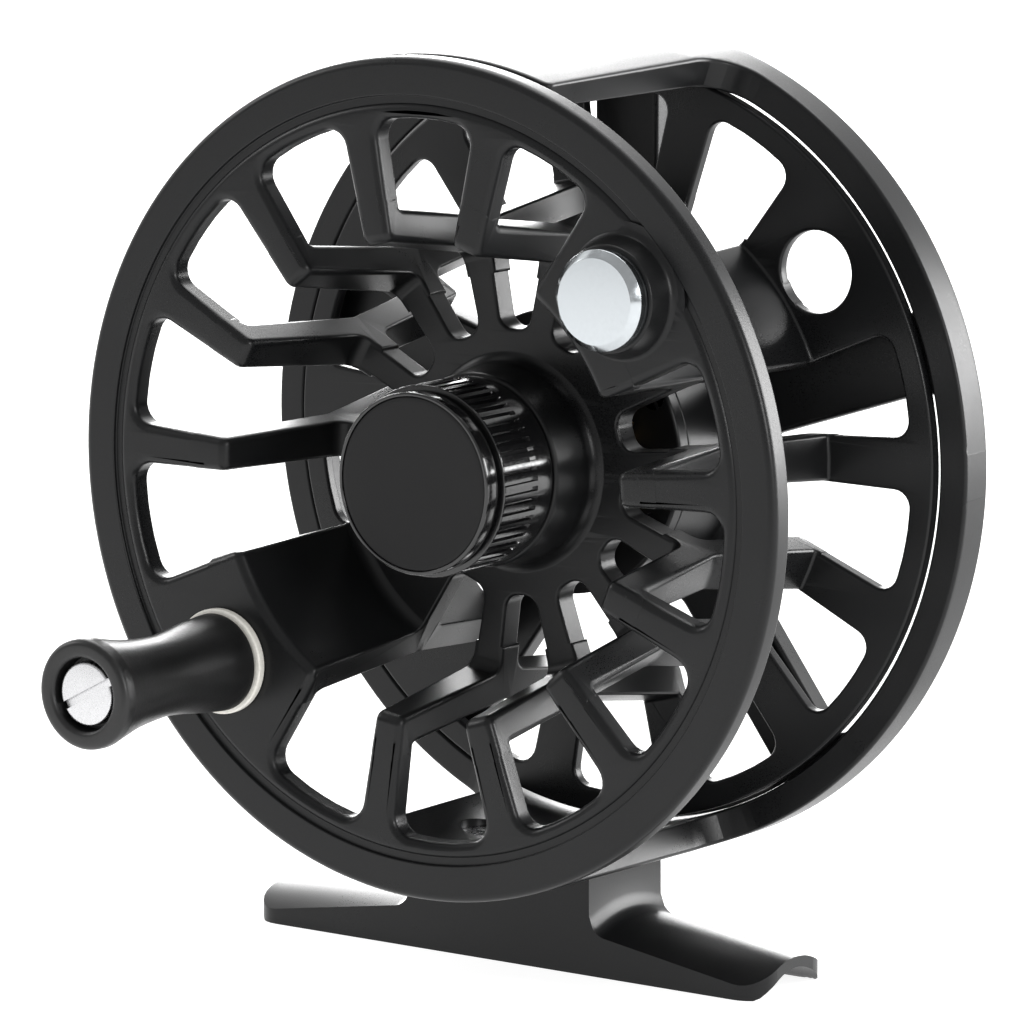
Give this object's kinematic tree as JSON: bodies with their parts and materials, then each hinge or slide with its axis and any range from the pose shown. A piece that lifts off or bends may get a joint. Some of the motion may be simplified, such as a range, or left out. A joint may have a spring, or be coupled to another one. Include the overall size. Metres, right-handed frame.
{
  "type": "fly reel",
  "caption": "Fly fishing reel with a spoked large-arbor spool in a half frame, crank handle, counterweight, knurled release knob, rear drag knob and rod foot.",
  "frame": {"origin": "under the middle of the foot, on the plane of its two long soles, where it rests on a rod's reel seat", "axes": "+Z from the foot up to the spool's axis, Y along the spool's axis with the handle and release knob on the -Y side, X along the foot and so along the rod"},
  "size_m": [0.0864, 0.072, 0.0947],
  "materials": {
    "frame_black": "die-cast, satin black paint with a fine grain",
    "foot_black": "satin black paint",
    "spool_black": "die-cast, matte black with a fine grain, glossier inside",
    "knob_black": "gloss black, knurled",
    "disc_black": "matte black face disc",
    "grip_black": "moulded black plastic, fine grain",
    "chrome_bright": "polished chrome",
    "steel": "turned stainless steel",
    "brass": "machined",
    "rubber_black": "soft black rubber",
    "carbon": "woven carbon friction washer",
    "white_nylon": "natural nylon",
    "alu_bare": "machined aluminium"
  },
  "bodies": {
    "frame": {"frame_casting": "frame_black", "foot": "foot_black", "foot_screws": "steel", "spindle": "steel", "front_bearing": "steel", "rear_bearing": "steel", "hub_screw": "steel", "drag_cover": "alu_bare", "cover_screws": "steel", "hub_seal": "rubber_black", "front_drag_washer": "carbon", "rear_drag_washer": "carbon", "pawl_pin": "steel", "pawl_spring": "steel", "knob_washer": "white_nylon", "knob_screw": "steel", "detent_spring": "steel", "detent_ball": "steel"},
    "drive": {"drive_hub": "alu_bare", "click_gear": "brass", "one_way_clutch": "steel", "drag_rotor": "steel"},
    "spool_assembly": {"spool": "spool_black", "counterweight": "chrome_bright", "knob_retaining_ring": "steel", "handle_screw": "steel", "handle_washer": "white_nylon"},
    "front_knob": {"release_knob": "knob_black", "knob_face_disc": "disc_black"},
    "handle": {"handle_grip": "grip_black"},
    "rear_knob": {"drag_knob": "knob_black", "knob_cap": "disc_black"},
    "pressure_group": {"pressure_plate": "steel", "disc_springs": "steel", "thrust_pins": "steel", "thrust_washer": "brass"},
    "click_lever": {"click_pawl": "brass"}
  },
  "joints": [
    {"name": "spool_spin", "type": "hinge", "parent": "frame", "child": "drive", "pos_m": [0, 0, 0.0515], "axis": [0, -1, 0], "continuous": true},
    {"name": "spool_release", "type": "slide", "parent": "drive", "child": "spool_assembly", "axis": [0, -1, 0], "range_m": [0, 0.06]},
    {"name": "knob_turn", "type": "hinge", "parent": "spool_assembly", "child": "front_knob", "pos_m": [0, -0.0155, 0.0515], "axis": [0, -1, 0], "range_deg": [0, 1080]},
    {"name": "handle_spin", "type": "hinge", "parent": "spool_assembly", "child": "handle", "pos_m": [-0.02459, -0.0319, 0.03087], "axis": [0, -1, 0], "continuous": true},
    {"name": "drag_turn", "type": "hinge", "parent": "frame", "child": "rear_knob", "pos_m": [0, 0.024, 0.0515], "axis": [0, -1, 0], "range_deg": [0, 300]},
    {"name": "plate_press", "type": "slide", "parent": "frame", "child": "pressure_group", "axis": [0, -1, 0], "range_m": [0, 0.00031]},
    {"name": "click_lift", "type": "hinge", "parent": "frame", "child": "click_lever", "pos_m": [-0.01184, 0.0032, 0.05581], "axis": [0, -1, 0], "range_deg": [0, 9], "stiffness_Nm_per_rad": 0.002, "springref_deg": -5.73, "deforming": ["pawl_spring"]}
  ],
  "couplings": [
    {"joint": "plate_press", "follows": "drag_turn", "m_per_rad": 0.0000572}
  ]
}
